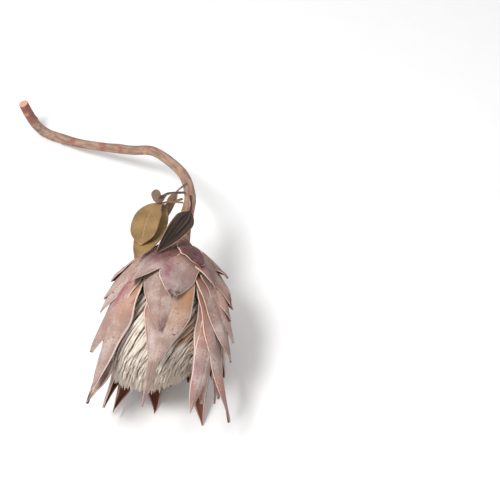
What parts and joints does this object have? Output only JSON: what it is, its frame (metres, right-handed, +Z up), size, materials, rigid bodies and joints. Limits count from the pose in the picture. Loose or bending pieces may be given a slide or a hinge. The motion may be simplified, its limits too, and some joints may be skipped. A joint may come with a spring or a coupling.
{
  "type": "king protea flower",
  "caption": "Dried king protea flower lying on its side: a goblet of overlapping pointed bracts around a dense dome of florets, on a bent cut stem with a few leathery leaves",
  "frame": {"origin": "bottom centre of the bounding box, on the surface that the flower lies on", "axes": "+Z up, the head points towards -Y and the stem runs to +Y, +X to the right of someone who looks along +Y"},
  "size_m": [0.2162, 0.3843, 0.1197],
  "materials": {
    "bract": "velvety matt, dusty pink-grey with tan and magenta stains",
    "floret": "matt cream, downy",
    "bark": "rough dry bark",
    "receptacle": "rough dry",
    "leaf": "dry, slightly waxy"
  },
  "bodies": {
    "root": {"bract_row10_1": "bract", "bract_row10_2": "bract", "bract_row10_3": "bract", "bract_row1_1": "bract", "bract_row1_2": "bract", "bract_row1_3": "bract", "bract_row1_4": "bract", "bract_row1_5": "bract", "bract_row2_1": "bract", "bract_row2_2": "bract", "bract_row2_3": "bract", "bract_row2_4": "bract", "bract_row2_5": "bract", "bract_row2_6": "bract", "bract_row3_1": "bract", "bract_row3_2": "bract", "bract_row3_3": "bract", "bract_row3_4": "bract", "bract_row3_5": "bract", "bract_row3_6": "bract", "bract_row4_1": "bract", "bract_row4_2": "bract", "bract_row4_3": "bract", "bract_row4_4": "bract", "bract_row4_5": "bract", "bract_row5_1": "bract", "bract_row5_2": "bract", "bract_row5_3": "bract", "bract_row5_4": "bract", "bract_row5_5": "bract", "bract_row5_6": "bract", "bract_row6_1": "bract", "bract_row6_2": "bract", "bract_row6_3": "bract", "bract_row6_4": "bract", "bract_row6_5": "bract", "bract_row6_6": "bract", "bract_row7_1": "bract", "bract_row7_2": "bract", "bract_row7_3": "bract", "bract_row7_4": "bract", "bract_row7_5": "bract", "bract_row7_6": "bract", "bract_row8_1": "bract", "bract_row8_2": "bract", "bract_row8_3": "bract", "bract_row8_4": "bract", "bract_row8_5": "bract", "bract_row9_1": "bract", "bract_row9_2": "bract", "bract_row9_3": "bract", "bract_row9_4": "bract", "floret_mass": "floret", "leaf_back": "leaf", "leaf_front": "leaf", "leaf_pointed": "leaf", "leaf_spoon": "leaf", "leaf_striped": "leaf", "receptacle": "receptacle", "stem": "bark"}
  },
  "joints": []
}
